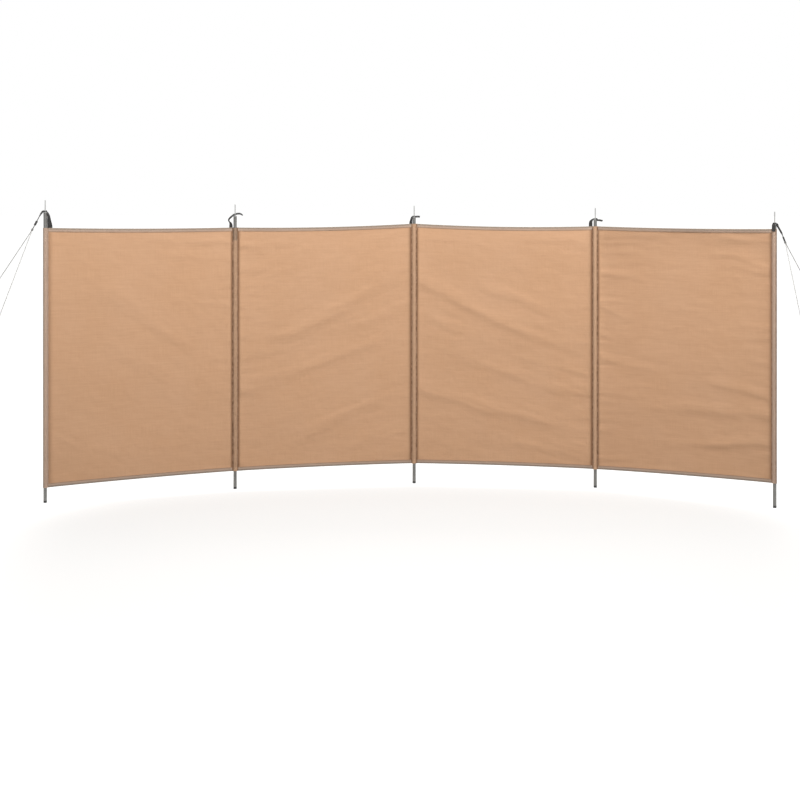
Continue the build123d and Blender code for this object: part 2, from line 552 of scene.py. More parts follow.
postSteel = metalFinish("postSteel", (132, 131, 128), (118, 117, 114), 0.36, (420, 420, 5))
pinSteel = metalFinish("pinSteel", (196, 196, 194), (178, 178, 176), 0.28, (600, 600, 8))
pegSteel = metalFinish("pegSteel", (150, 151, 152), (116, 117, 118), 0.42, (240, 240, 160))
eyeletDark = metalFinish("eyeletDark", (70, 68, 64), (48, 47, 45), 0.4, (300, 300, 300))
plugPlastic = mouldedFinish("plugPlastic", (52, 52, 51), (76, 75, 73), 0.5)
runnerPlastic = mouldedFinish("runnerPlastic", (34, 34, 34), (58, 57, 56), 0.45)

# Posts, plugs, pins and pegs keep their CAD shapes
keptShapes = {"post_": postSteel, "foot_plug": plugPlastic, "top_pin": pinSteel, "peg_": pegSteel}
for name, obj in nodes.items():
    for start, finish in keptShapes.items():
        if name.startswith(start):
            obj.data.materials.clear()
            obj.data.materials.append(finish)
print("finishes made")


# Cloth bays. A noise is its three scales and its seed.

bay = {
    "tall": 1.4,              # of the cloth, laid flat
    "seam": 17 * mm,          # from the post's middle to the seam
    "cell": 6.5 * mm,
    "thick": 1.1 * mm,
    "smooth": 60,             # in degrees
    "topSag": (5.1, 8.7, 10.5, 4.8),   # in mm
    "bottomBow": 4 * mm,
    "hem": 22 * mm,
    "tuck": 7 * mm,           # of the cloth inside the hem
    "billow": 7 * mm,
    "topRoll": (0, 1, -2, 16),   # in mm, how far each bay bellies to the back under its top hem
    "topRollAt": (110, 110, 110, 240),   # in mm, how far below it
    "apart": 2.0,             # between the noises of two bays
    "wave": 3.5 * mm,
    "waveNoise": ((3.1, 3.1, 3.1), 1),
    "crumple": 0.7 * mm,
    "crumpleNoise": ((15, 21, 1), 2),
    "foldShare": 1.05,        # of the depths listed below
    "foldAbove": 2.1,         # reach of a fold to both sides of its ridge, of its half width
    "foldBelow": 1.3,
    "foldWander": 10 * mm,
    "wanderNoise": ((4.5, 4.5, 4.5), 6),
    "foldMean": 0.75,         # of its depth, along its ridge
    "foldSwing": 0.7,
    "swingNoise": ((6.0, 6.0, 6.0), 12),
    "atSeam": 0.05,           # a fold that ends this near to a seam runs into it
    "wander": 14 * mm,        # of the fine creases
    "coarseNoise": ((3.0, 17, 1.5), 7),
    "fineNoise": ((6.5, 36, 1.5), 11),
    "fineShare": 0.65,
    "plainShare": 0.45,       # of the creases' depth, away from folds
    "besideShare": 0.75,      # more of it beside them
    "streakReach": 55 * mm,   # of the fine creases beside a fold
    "roll": 4.5 * mm,         # the padded lip beside a seam
    "rollAt": 10 * mm,
    "beadNoise": ((5, 62, 1), 3),   # of the short puckers
    "beadReach": 22 * mm,
    "streakNoise": ((4, 27, 1), 9),   # of the long ones
    "puckerReach": 110 * mm,
    "puckerStart": 6 * mm,
    "seamHold": 10 * mm,      # the cloth comes loose over these distances from its edges
    "bottomHold": 50 * mm,
    "topHold": 30 * mm,
    "hemShare": 0.25,         # of the depth, in the hems
}
# Lie in degrees and depth in mm of each bay's fine creases
wrinkles = [(-33, 1.0), (20, 1.4), (-18, 1.3), (-4, 1.2)]

# Folds of each bay: points along the ridge as shares of width and height, half width and depth in mm
folds = [
    [([(0.18, 0.80), (0.45, 0.68), (0.66, 0.57), (0.86, 0.44)], 34, 3.4),
     ([(0.08, 0.64), (0.40, 0.50), (0.70, 0.36)], 30, 1.8),
     ([(0.34, 0.968), (0.70, 0.95), (1.00, 0.945)], 15, 3.0),
     ([(0.50, 0.90), (0.75, 0.89), (1.00, 0.875)], 16, 1.6),
     ([(0.62, 0.70), (0.80, 0.695), (1.00, 0.69)], 12, 1.4),
     ([(0.02, 0.20), (0.30, 0.13), (0.55, 0.09)], 26, 1.6)],
    [([(0.00, 0.928), (0.20, 0.925), (0.45, 0.940)], 14, 2.8),
     ([(0.08, 0.545), (0.34, 0.568), (0.60, 0.662), (0.945, 0.788)], 26, 4.2),
     ([(0.05, 0.34), (0.27, 0.38), (0.45, 0.43), (0.60, 0.462), (0.97, 0.53)], 26, 3.5),
     ([(0.28, 0.10), (0.42, 0.145), (0.60, 0.21), (0.85, 0.268)], 26, 3.6),
     ([(0.00, 0.475), (0.18, 0.48), (0.40, 0.50)], 14, 1.8),
     ([(0.45, 0.57), (0.70, 0.60), (0.95, 0.655)], 16, 1.6),
     ([(0.00, 0.83), (0.12, 0.825), (0.28, 0.83)], 11, 1.6),
     ([(0.00, 0.77), (0.10, 0.765), (0.24, 0.765)], 11, 1.4),
     ([(0.50, 0.06), (0.75, 0.09), (1.00, 0.13)], 20, 1.8)],
    [([(0.03, 0.755), (0.22, 0.685), (0.40, 0.63), (0.60, 0.565), (0.99, 0.52)], 24, 5.0),
     ([(0.28, 0.765), (0.55, 0.705), (0.86, 0.60)], 20, 2.6),
     ([(0.10, 0.60), (0.18, 0.575), (0.30, 0.545)], 14, 2.0),
     ([(0.10, 0.495), (0.30, 0.44), (0.45, 0.40), (0.65, 0.352), (1.00, 0.32)], 24, 4.4),
     ([(0.02, 0.32), (0.38, 0.237), (0.60, 0.205), (0.97, 0.165)], 24, 4.2),
     ([(0.55, 0.45), (0.78, 0.42), (1.00, 0.395)], 15, 2.0),
     ([(0.30, 0.10), (0.60, 0.085), (0.95, 0.07)], 20, 2.0),
     ([(0.55, 0.943), (0.80, 0.942), (1.00, 0.944)], 13, 2.8),
     ([(0.00, 0.937), (0.10, 0.937), (0.26, 0.940)], 12, 1.4)],
    [([(0.00, 0.962), (0.20, 0.962), (0.42, 0.965)], 13, 5.0),
     ([(0.00, 0.938), (0.12, 0.936), (0.28, 0.932)], 12, 4.4),
     ([(0.62, 0.963), (0.80, 0.960), (1.00, 0.958)], 17, 5.0),
     ([(0.00, 0.895), (0.15, 0.887), (0.34, 0.875)], 14, 2.0),
     ([(0.68, 0.905), (0.85, 0.875), (1.00, 0.845)], 13, 2.0),
     ([(0.60, 0.86), (0.80, 0.845), (1.00, 0.82)], 13, 1.6),
     ([(0.00, 0.81), (0.10, 0.80), (0.30, 0.785)], 13, 3.0),
     ([(0.00, 0.675), (0.08, 0.65), (0.26, 0.61)], 13, 3.0),
     ([(0.00, 0.56), (0.10, 0.535), (0.26, 0.53)], 12, 2.2),
     ([(0.00, 0.465), (0.15, 0.438), (0.42, 0.42)], 15, 3.4),
     ([(0.00, 0.32), (0.10, 0.31), (0.32, 0.305)], 13, 2.4),
     ([(0.60, 0.378), (0.80, 0.36), (0.98, 0.335)], 16, 4.0),
     ([(0.10, 0.262), (0.50, 0.265), (0.98, 0.26)], 20, 3.6),
     ([(0.24, 0.135), (0.50, 0.125), (0.75, 0.145), (1.00, 0.15)], 18, 4.4),
     ([(0.80, 0.70), (0.90, 0.70), (1.00, 0.695)], 12, 1.4),
     ([(0.82, 0.62), (0.92, 0.62), (1.00, 0.615)], 12, 1.4)],
]
# How a fold fades at its start and end, by whether these run into a seam: over a share of its own length
# inside the end and a share of the bay beyond it
foldFades = {
    (False, False): ((0.3, 0.05), (0.35, 0.06)),
    (True, False): (None, (0.6, 0.05)),
    (False, True): ((0.5, 0.05), None),
    (True, True): (None, (0.3, 0.06)),
}
pucker = [(0.6, 1.4), (1.8, 1.1), (1.0, 1.7), (3.0, 1.7)]   # depth in mm at the left and right seam
# Width in mm and strength of the painted shade along each bay's left and right seam, in the valley beside
# the sleeve
seamShadeLines = [[(17, 0.4), (8, 1.0)], [(8, 1.0), (12, 1.0)], [(6, 1.0), (12, 1.0)], [(5, 1.0), (12, 0.7)]]


def bayFrame(number):
    # Where a bay starts, its width, and its directions along and to the back
    start = feet[number] + along(turns[number], bay["seam"])
    end = feet[number + 1] - along(turns[number + 1], bay["seam"])
    run = (end - start).normalized()
    return start, (end - start).length, run, up.cross(run)


def bayEdges(number, u):
    bow = 4 * u * (1 - u)
    low = sleeveLows[number] * (1 - u) + sleeveLows[number + 1] * u + bay["bottomBow"] * bow
    top = sleeveTops[number] * (1 - u) + sleeveTops[number + 1] * u - bay["topSag"][number] * mm * bow
    return low, top


def foldStrength(first, last, u):
    begins, stops = foldFades[first <= bay["atSeam"], last >= 1 - bay["atSeam"]]
    long, strength = last - first, 1
    if begins:
        inside, beyond = begins
        strength = easeStep(first - beyond, first + inside * long, u)
    if stops:
        inside, beyond = stops
        strength = strength * (1 - easeStep(last - inside * long, last + beyond, u))
    return strength


def bayDepth(number, u, v):
    # How far the cloth stands to the back at shares u and v of the bay
    span = bayFrame(number)[1]
    low, top = bayEdges(number, u)
    tall = top - low
    x, z = u * span, v * tall
    layer = number * bay["apart"]
    depth = bay["billow"] * 4 * u * (1 - u) * np.sin(np.pi * np.clip(v, 0, 1))
    under = (tall - z) / (bay["topRollAt"][number] * mm)
    depth = depth + bay["topRoll"][number] * mm * under * np.exp(1 - under)
    depth = depth + bay["wave"] * noiseOver(bay["waveNoise"], x, z, layer)
    depth = depth + bay["crumple"] * noiseOver(bay["crumpleNoise"], x, z, layer)
    # The folds, each with its own fading along its ridge
    wander = noiseOver(bay["wanderNoise"], x, z, layer)
    swing = bay["foldMean"] + bay["foldSwing"] * noiseOver(bay["swingNoise"], x, z, layer)
    near = np.zeros_like(x)
    for points, half, deep in folds[number]:
        us, vs = np.array(points).T
        curve = np.polyfit(us, vs, min(3, len(points) - 1))
        held = np.clip(u, us[0], us[-1])
        slope = np.polyval(np.polyder(curve), held) * tall / span
        away = (v - np.polyval(curve, held)) * tall / np.sqrt(1 + slope ** 2) + wander * bay["foldWander"]
        side = half * mm * np.where(away > 0, bay["foldAbove"], bay["foldBelow"])
        strength = foldStrength(points[0][0], points[-1][0], u)
        depth = depth - deep * bay["foldShare"] * mm * np.exp(-(away / side) ** 2) * strength * swing
        near = np.maximum(near, strength * np.exp(-(away / bay["streakReach"]) ** 2))
    # Fine creases along the pull of the bay, most of them beside the folds
    lie, deep = wrinkles[number]
    lie = math.radians(lie)
    lengthwise = x * math.cos(lie) + z * math.sin(lie)
    crosswise = z * math.cos(lie) - x * math.sin(lie) + wander * bay["wander"]
    crest = noiseOver(bay["coarseNoise"], lengthwise, crosswise, layer)
    crest = crest + bay["fineShare"] * noiseOver(bay["fineNoise"], lengthwise, crosswise, layer)
    depth = depth - deep * mm * crest * (bay["plainShare"] + bay["besideShare"] * near)
    # The lips beside the seams, and their puckers
    for side, deep in zip((x, span - x), pucker[number]):
        lip = (side / bay["rollAt"]) * np.exp(1 - side / bay["rollAt"])
        depth = depth - bay["roll"] * lip
        short = noiseOver(bay["beadNoise"], side, z, number + deep) * np.exp(-side / bay["beadReach"])
        long = noiseOver(bay["streakNoise"], side, z, number - deep) * np.exp(-side / bay["puckerReach"])
        depth = depth - deep * mm * (short + long) * easeStep(0, bay["puckerStart"], side)
    hold = easeStep(0, bay["seamHold"], x) * easeStep(0, bay["seamHold"], span - x)
    loose = easeStep(0, bay["bottomHold"], z) * easeStep(0, bay["topHold"], tall - z)
    return depth * hold * (bay["hemShare"] + (1 - bay["hemShare"]) * loose)


def bayPoints(number, u, v, push=0):
    start, span, run, back = bayFrame(number)
    low, top = bayEdges(number, u)
    depth = bayDepth(number, u, v) + push
    z = low + v * (top - low)
    ground = np.array(start) + u[..., None] * span * np.array(run) + depth[..., None] * np.array(back)
    return ground + z[..., None] * np.array(up)


# A map of painted shade, 0 to 1, for the creases and seam valleys
def setPaintedCreaseShade(obj, values):
    layer = obj.data.attributes.new("paintedCreaseShade", "FLOAT", "POINT")
    layer.data.foreach_set("value", np.clip(values, 0, 1).astype(np.float32).ravel())


def clothPanel(number):
    span = bayFrame(number)[1]
    tall = sleeveTops[number] - sleeveLows[number]
    tuck = (bay["hem"] - bay["tuck"]) / tall
    across = np.linspace(0, 1, int(span / bay["cell"]))
    rise = np.linspace(tuck, 1 - tuck, int(tall / bay["cell"]))
    v, u = np.meshgrid(rise, across, indexing="ij")
    flat = np.stack([u * span, v * tall], -1)
    panel = skinRows(f"cloth_panel_{number + 1}_woven", bayPoints(number, u, v), flat, loop=False)
    # Painted shade along the two seams
    paintedCreaseShade = 0
    for side, (wide, strength) in zip((u * span, (1 - u) * span), seamShadeLines[number]):
        paintedCreaseShade = paintedCreaseShade + strength * np.exp(-(side / (wide * mm)) ** 2)
    setPaintedCreaseShade(panel, paintedCreaseShade)
    thicken(panel, bay["thick"], 0)
    smoothShade(panel, bay["smooth"])
    return finishPiece(panel, clothTan, "windbreak_cloth", f"cloth_panel_{number + 1}")


panels = [clothPanel(number) for number in range(bayCount)]
print("cloth bays made")


# Hems: tape folded over the two long edges

hem = {
    "tall": bay["hem"],
    "thick": 1.0 * mm,
    "gap": 1.6 * mm,
    "cell": 12 * mm,
    "ripple": 0.5 * mm,
    "rippleNoise": ((3.0, 24, 1), 4),
    "smooth": 50,
}
hemSection = [(0.0, 0.0), (0.30, 0.0), (0.62, 0.0), (0.86, 0.02), (0.96, 0.25), (1.0, 0.5)]   # up, then over


def hemProfile():
    # Height and depth round the folded strip, outside then inside, and the share from fold to sewn edge
    def half(tall, depth):
        front = [(r * tall, -depth * math.cos(t * math.pi), 1 - r) for r, t in hemSection]
        return front + [(h, -d, share) for h, d, share in reversed(front[:-1])]
    outside = half(hem["tall"], hem["gap"] / 2 + hem["thick"])
    inside = half(hem["tall"] - hem["thick"], hem["gap"] / 2)
    return np.array(outside + inside[::-1])


def hemShare(edge, tall, height):
    # A height on the tape, from its sewn edge, as a share of the cloth's
    return (tall - hem["tall"] + height if edge == "top" else hem["tall"] - height) / tall


def hemPiece(number, edge):
    span = bayFrame(number)[1]
    us = np.linspace(0, 1, int(span / hem["cell"]))
    height, depth, share = hemProfile().T
    u, height = np.meshgrid(us, height, indexing="ij")
    share = np.broadcast_to(share, u.shape)
    low, top = bayEdges(number, u)
    sway = hem["ripple"] * noiseOver(hem["rippleNoise"], number, us * span, int(edge == "top"))[:, None]
    push = depth + sway * height / hem["tall"]
    rows = bayPoints(number, u, hemShare(edge, top - low, height), push)
    piece = skinRows(f"{edge}_hem_{number + 1}_tape", rows, np.stack([u * span, share], -1))
    smoothShade(piece, hem["smooth"])
    return finishPiece(piece, bindingGrey, "edge_binding", f"{edge}_hem_{number + 1}")


hems = [[hemPiece(number, edge) for edge in ("top", "bottom")] for number in range(bayCount)]
print("hems made")


# Sleeves on the posts

sleeve = {
    "wall": 1.0 * mm,
    "bulge": 10.6 * mm,       # of the outer face, over the tube
    "seam": bay["seam"],
    "cell": 9 * mm,
    "smooth": 60,
    "roundShare": 0.62,       # of the seam's distance, where an end sleeve has no seam
    "roundPoints": 13,
    "flatFrom": 0.7,          # of the seam's distance, where the cloth lies flat
    "ripple": 0.5 * mm,
    "rippleNoise": ((2, 2, 1), 5),
    "rippleRise": 26,
    "beadNoise": ((1, 1, 1), 10),   # of the strength of the painted crease shade, which beads along the sleeve
    "beadRise": 62,
    "beadMean": 0.85,
    "beadSwing": 0.6,
    "lip": 1.2 * mm,          # how far a mouth stands out
    "lipTall": 9 * mm,
    "lipFrom": 0.4,
    "openPost": 1,            # the second post's sleeve is open at its front
    "mouthDrop": 74 * mm,
    "dropFrom": 0.5,          # of the sleeve's height, where its rows start to sink to the mouth
    "mouthFace": (0.02, 0.30),   # how far to the front, as shares of the bulge, the mouth's edge runs down
}
# One quarter of the plan, from the front of the tube to the seam, in shares of seam and bulge
quarter = [(0.0, 1.0), (0.17, 0.965), (0.33, 0.86), (0.47, 0.69), (0.58, 0.48), (0.66, 0.27), (0.73, 0.13),
           (0.84, 0.07), (1.0, 0.05)]

# Painted shade down each sleeve, in the seam valleys and on its shaded sides: place and width as shares of
# the seam's distance, and strength
sleeveShadeLines = [
    [(1.0, 0.25, 0.35), (-0.62, 0.16, 0.4)],
    [(-0.85, 0.36, 1.0), (1.0, 0.32, 1.0), (0.1, 0.6, 0.25)],
    [(-1.0, 0.40, 1.0), (0.82, 0.30, 0.95), (0.0, 0.5, 0.12)],
    [(-1.0, 0.40, 1.0), (0.78, 0.28, 1.0)],
    [(-0.95, 0.25, 0.9), (0.5, 0.2, 0.55)],
]


def roundSide(start):
    angles = np.linspace(start, start + math.pi, sleeve["roundPoints"])
    return [(sleeve["roundShare"] * math.cos(a), math.sin(a)) for a in angles]


def sleeveLoop(post):
    # The plan of a sleeve; the two end ones are round on their free side
    front = [(x, -y) for x, y in quarter]
    right = front + [(x, -y) for x, y in reversed(front)]
    left = [(-x, y) for x, y in reversed(right)]
    if post == 0:
        left = roundSide(math.pi / 2)
    if post == lastPost:
        right = roundSide(-math.pi / 2)
    return np.array(right + left[1:-1])


def sleevePiece(post):
    loop = sleeveLoop(post)
    across, deep = loop.T
    run, back = (np.array(axis) for axis in postAxes(post))
    low, top = sleeveLows[post], sleeveTops[post]
    count = int((top - low) / sleeve["cell"])
    girth = distances(loop * sleeve["seam"])
    face = easeStep(*sleeve["mouthFace"], -deep) * (post == sleeve["openPost"])
    reach = np.abs(across)
    # dark is painted shade, in the seam valleys and on the sides of the sleeve that turn from the light
    dark = 0
    for at, wide, strength in sleeveShadeLines[post]:
        dark = dark + strength * np.exp(-((across - at) / wide) ** 2)
    rows, uvs, paintedCreaseShade = [], [], []
    for share in np.arange(count + 1) / count:
        z = low + (top - low) * share - face * sleeve["mouthDrop"] * easeStep(sleeve["dropFrom"], 1, share)
        ripple = noiseOver(sleeve["rippleNoise"], across, deep, z * sleeve["rippleRise"] + post)
        toMouth = (top - low) * min(share, 1 - share)
        lip = sleeve["lip"] * (1 - easeStep(sleeve["lipFrom"], 1, toMouth / sleeve["lipTall"]))
        swell = 1 + (ripple * sleeve["ripple"] + lip) / sleeve["bulge"] * (1 - reach)
        x = across * sleeve["seam"] * np.where(reach < sleeve["flatFrom"], swell, 1)
        y = deep * sleeve["bulge"] * swell
        row = np.array(feet[post]) + x[:, None] * run + y[:, None] * back
        row[:, 2] = z
        rows.append(row)
        uvs.append(np.stack([girth, z], -1))
        bead = noiseOver(sleeve["beadNoise"], across, deep, z * sleeve["beadRise"] + post)
        paintedCreaseShade.append(dark * (sleeve["beadMean"] + sleeve["beadSwing"] * bead))
    piece = skinRows(f"sleeve_{post + 1}_channel", rows, uvs, caps=False)
    setPaintedCreaseShade(piece, paintedCreaseShade)
    thicken(piece, sleeve["wall"], 1)
    smoothShade(piece, sleeve["smooth"])
    # The middle sleeves take the copy of the cloth with painted shade
    finish = sleeveGrey if post in (0, lastPost) else sleeveTanShaded
    return finishPiece(piece, finish, "windbreak_cloth", f"sleeve_{post + 1}")


sleeves = [sleevePiece(post) for post in range(postCount)]

# A thin tube round the post in the open mouth, coloured as the shade inside the sleeve: painted shade

shadeLining = {
    "radius": 9.9 * mm,
    "thick": 0.4 * mm,
    "below": 30 * mm,         # the mouth's lowest place
    "sunk": 2 * mm,
    "ripple": 0.15 * mm,
    "rippleNoise": ((1, 1, 30), 13),
    "sides": 24,
    "rows": 16,
}
post = sleeve["openPost"]
angles = np.arange(shadeLining["sides"]) * 2 * math.pi / shadeLining["sides"]
shadeLiningLow = sleeveTops[post] - sleeve["mouthDrop"] - shadeLining["below"]
rows, uvs = [], []
for z in np.linspace(shadeLiningLow, sleeveTops[post] - shadeLining["sunk"], shadeLining["rows"]):
    x, y = np.cos(angles), np.sin(angles)
    radius = shadeLining["radius"] + shadeLining["ripple"] * noiseOver(shadeLining["rippleNoise"], x, y, z)
    rows.append(np.array(feet[post]) + np.stack([radius * x, radius * y, np.full_like(x, z)], -1))
    uvs.append([(shadeLining["radius"] * a, z) for a in angles])
shadeLiningPiece = skinRows("sleeve_shade_lining", rows, uvs, caps=False)
thicken(shadeLiningPiece, shadeLining["thick"], 1)
smoothShade(shadeLiningPiece, sleeve["smooth"])
finishPiece(shadeLiningPiece, liningPaintedShade, "windbreak_cloth")
print("sleeves made")


# Stitches: one is modelled, then laid along the seams and hems

stitch = {
    "size": (4.2 * mm, 0.9 * mm, 0.63 * mm),
    "segments": 6,
    "rings": 4,
    "pitch": 6.0 * mm,
    "smooth": 80,
    "onHem": 3 * mm,          # up from the tape's sewn edge
    "hemProud": 0.15 * mm,
    "onSeam": 0.92,           # of the seam's distance
    "seamDeep": 0.06,         # of the bulge, where the stitches lie
    "seamProud": 0.1 * mm,
    "seamEnd": 8 * mm,
}
clearSelection()
bpy.ops.mesh.primitive_uv_sphere_add(segments=stitch["segments"], ring_count=stitch["rings"], radius=0.5)
stitchModel = bpy.context.object
stretch(stitchModel, stitch["size"])
stitchPoints = np.array([v.co for v in stitchModel.data.vertices])
stitchFaces = [tuple(p.vertices) for p in stitchModel.data.polygons]
bpy.data.objects.remove(stitchModel)


def stitchRow(name, places, slot):
    # Each place is a middle, the way it runs and the way it faces
    points, faces = [], []
    for middle, way, front in places:
        turnTo = np.array(Matrix((way, front.cross(way), front)).transposed())
        base = len(points) * len(stitchPoints)
        points.append(stitchPoints @ turnTo.T + np.array(middle))
        faces.extend(tuple(base + i for i in f) for f in stitchFaces)
    points = np.concatenate(points)
    piece = meshPiece(name, points, faces, points[:, [0, 2]])
    outward(piece)
    smoothShade(piece, stitch["smooth"])
    return finishPiece(piece, threadTan, slot)


for number in range(bayCount):
    span, run, back = bayFrame(number)[1:]
    us = np.arange(stitch["pitch"], span - stitch["pitch"], stitch["pitch"]) / span
    low, top = bayEdges(number, us)
    proud = hem["gap"] / 2 + hem["thick"] + stitch["hemProud"]
    places = []
    for edge in ("top", "bottom"):
        v = hemShare(edge, top - low, stitch["onHem"])
        for face in (-1, 1):
            for middle in bayPoints(number, us, v, face * proud):
                places.append((middle, run, back * face))
    stitchRow(f"hem_stitches_{number + 1}", places, "edge_binding")

for post in range(postCount):
    run, back = postAxes(post)
    sides = [side for side, free in ((-1, 0), (1, lastPost)) if post != free]
    proud = sleeve["bulge"] * stitch["seamDeep"] + sleeve["wall"] + stitch["seamProud"]
    lowest = sleeveLows[post] + stitch["seamEnd"]
    heights = np.arange(lowest, sleeveTops[post] - stitch["seamEnd"], stitch["pitch"])
    places = []
    for side in sides:
        beside = feet[post] + run * (side * sleeve["seam"] * stitch["onSeam"])
        for z in heights:
            for face in (-1, 1):
                places.append((beside + back * (face * proud) + up * z, up, back * face))
    stitchRow(f"seam_stitches_{post + 1}", places, "windbreak_cloth")
print("stitches laid")


# Straps: black tape sewn to the back of the cloth's edge, twisted over the post's head and onto the pin

strap = {
    "thick": 1.9 * mm,
    "step": 2 * mm,
    "across": 7,              # points over the width
    "edgeThin": 0.35,         # how much thinner the two edges are
    "smooth": 40,
    "roll": 34,               # of the tape on its pin, in degrees
    "tailRoll": 42,
    "sewn": (-21, -6),        # heights on the hem, in mm
    "sewnProud": 0.3 * mm,
}
eyelet = {
    "hole": 5.2 * mm,
    "sides": 24,
    "punch": 14 * mm,
    "ring": 5.5 * mm,
    "cord": 0.9 * mm,         # radius of the rolled rim
    "tall": 1.9,              # times as tall as the rim is wide
    "waist": 0.12,
    "segments": (28, 8),
    "proud": 0.4 * mm,
    "smooth": 60,
}
# Points of each strap from its pin, in mm: along the sleeve, to the back, above the post's head; then the
# twist in degrees, from facing front to lying on the pin, and the width in mm
strapLines = [
    [(24.5, 0, -76, 0, 28), (21, -1, -48, 0, 22), (18, -2, -23, 12, 16.5), (12.5, -1, -6, 55, 16),
     (7, 0, 2, 90, 16), (0, 0, 3, 90, 16), (-9, 0, 2, 90, 16)],
    [(-24, 0, -56, 0, 19), (-27, -1, -42, 25, 14), (-35, -2, -32, 50, 12), (-37, -2, -24, 65, 12),
     (-32, -1, -15, 75, 14), (-20, 0, -4, 85, 16), (-10, 0, 4, 90, 16), (0, 0, 9, 90, 16),
     (14, 0, 12, 90, 16), (27, 0, 12, 90, 16), (37, 0, 8, 90, 15), (44, 0, 2, 90, 13)],
    [(-19.3, 0, -30, 0, 17), (-17.5, -1, -20, 0, 14), (-14, -1, -5, 45, 12), (-8, 0, 2, 80, 14),
     (0, 0, 3, 90, 16), (10, 0, 1.5, 90, 16), (22, 0, 2, 90, 16), (34, 0, 1, 90, 14)],
    [(-27, 0, -30, 0, 21), (-26, -1, -16, 6, 19.5), (-19.5, -1, -5, 50, 17), (-10, 0, 1.5, 85, 16),
     (0, 0, 3, 90, 16), (8.5, 0, 2, 90, 16), (13, 0, -4, 90, 16), (25, 0, -5, 90, 16),
     (35, 0, -7, 90, 15), (43, 0, -8, 90, 13)],
    [(-2, -13.1, -40, 0, 19), (-2, -13.1, -29, 0, 19), (-2, -13.3, -16, 0, 19), (-1.5, -12.4, -5, 0, 18.5),
     (-0.5, -7.5, 1.8, 0, 17.5), (0, 0, 3, 0, 17), (0, 9, 2.2, 0, 16)],
]


def bandPiece(name, place, line, wides, wide):
    # A flat band along a line of local points; place is an origin and two level axes
    origin, axes = np.array(place[0]), np.array([place[1], place[2], up])
    path = smoothPath(np.column_stack([line, np.array(wides) * mm, wide]), strap["step"])
    line, wides, wide = path[:, :3], path[:, 3:6] / mm, path[:, 6]
    tangent = tangents(line)
    wides = wides - tangent * (wides * tangent).sum(1)[:, None]
    wides /= np.linalg.norm(wides, axis=1)[:, None]
    normal = np.cross(wides, tangent)
    shares = np.linspace(-0.5, 0.5, strap["across"])
    rows, uvs = [], []
    for point, side, lean, across, far in zip(line, wides, normal, wide, distances(line)):
        row, uvRow = [], []
        for face, order in ((1, shares), (-1, shares[::-1])):
            for share in order:
                isEdge = share in (shares[0], shares[-1])
                half = face * strap["thick"] / 2 * (1 - strap["edgeThin"] * isEdge)
                row.append(origin + (point + lean * half + side * share * across) @ axes)
                uvRow.append((far, share * across))
        rows.append(row)
        uvs.append(uvRow)
    return skinRows(name, rows, uvs)


def punchHole(piece, middle, way, radius, deep):
    clearSelection()
    bpy.ops.mesh.primitive_cylinder_add(vertices=eyelet["sides"], radius=radius, depth=deep, location=middle)
    punch = bpy.context.object
    punch.rotation_euler = facing(way)
    settle(punch)
    cut = piece.modifiers.new("hole", "BOOLEAN")
    cut.operation = "DIFFERENCE"
    cut.object = punch
    applyModifiers(piece)
    bpy.data.objects.remove(punch)


def eyeletRing(name, middle, way):
    # A rolled ring on the tape, with its barrel through the hole
    clearSelection()
    around, rim = eyelet["segments"]
    bpy.ops.mesh.primitive_torus_add(major_segments=around, minor_segments=rim, major_radius=eyelet["ring"],
                                     minor_radius=eyelet["cord"])
    ring = bpy.context.object
    stretch(ring, (1, 1, eyelet["tall"]))
    waist = ring.modifiers.new("waist", "SIMPLE_DEFORM")
    waist.deform_method = "TAPER"
    waist.deform_axis = "Z"
    waist.factor = eyelet["waist"]
    applyModifiers(ring)
    ring.location = middle
    ring.rotation_euler = facing(way)
    settle(ring)
    ring.name = name
    smoothShade(ring, eyelet["smooth"])
    finishPiece(ring, eyeletDark, "pin_steel")


def hookedBand(name, place, line, wides, wide, at):
    # A band with an eyelet where point number at lies on its pin
    piece = bandPiece(name, place, line, wides, wide)
    tangent = Vector(line[at + 1]) - Vector(line[at - 1])
    lean = Vector(wides[at]).cross(tangent)
    lean = lean if lean.z > 0 else -lean
    way = (place[1] * lean.x + place[2] * lean.y + up * lean.z).normalized()
    middle = place[0] + place[1] * line[at][0] + place[2] * line[at][1] + up * line[at][2]
    punchHole(piece, middle, way, eyelet["hole"], eyelet["punch"])
    smoothShade(piece, strap["smooth"])
    eyeletRing(name.replace("tape", "eyelet"), middle + way * eyelet["proud"], way)
    return piece


def sewnFoot(post, place):
    # Where a strap lies on the back of the hem, from its lower end up
    x = strapLines[post][0][0] * mm
    number = post if x > 0 else post - 1
    share = (abs(x) - bay["seam"]) / bayFrame(number)[1]
    u = np.full(2, share if x > 0 else 1 - share)
    low, top = bayEdges(number, u)
    heights = (top - low + np.array(strap["sewn"]) * mm) / (top - low)
    proud = hem["gap"] / 2 + hem["thick"] + strap["thick"] / 2 + strap["sewnProud"]
    away = [Vector(p) - place[0] for p in bayPoints(number, u, heights, proud)]
    return [(a.dot(place[1]), a.dot(place[2]), a.z) for a in away]


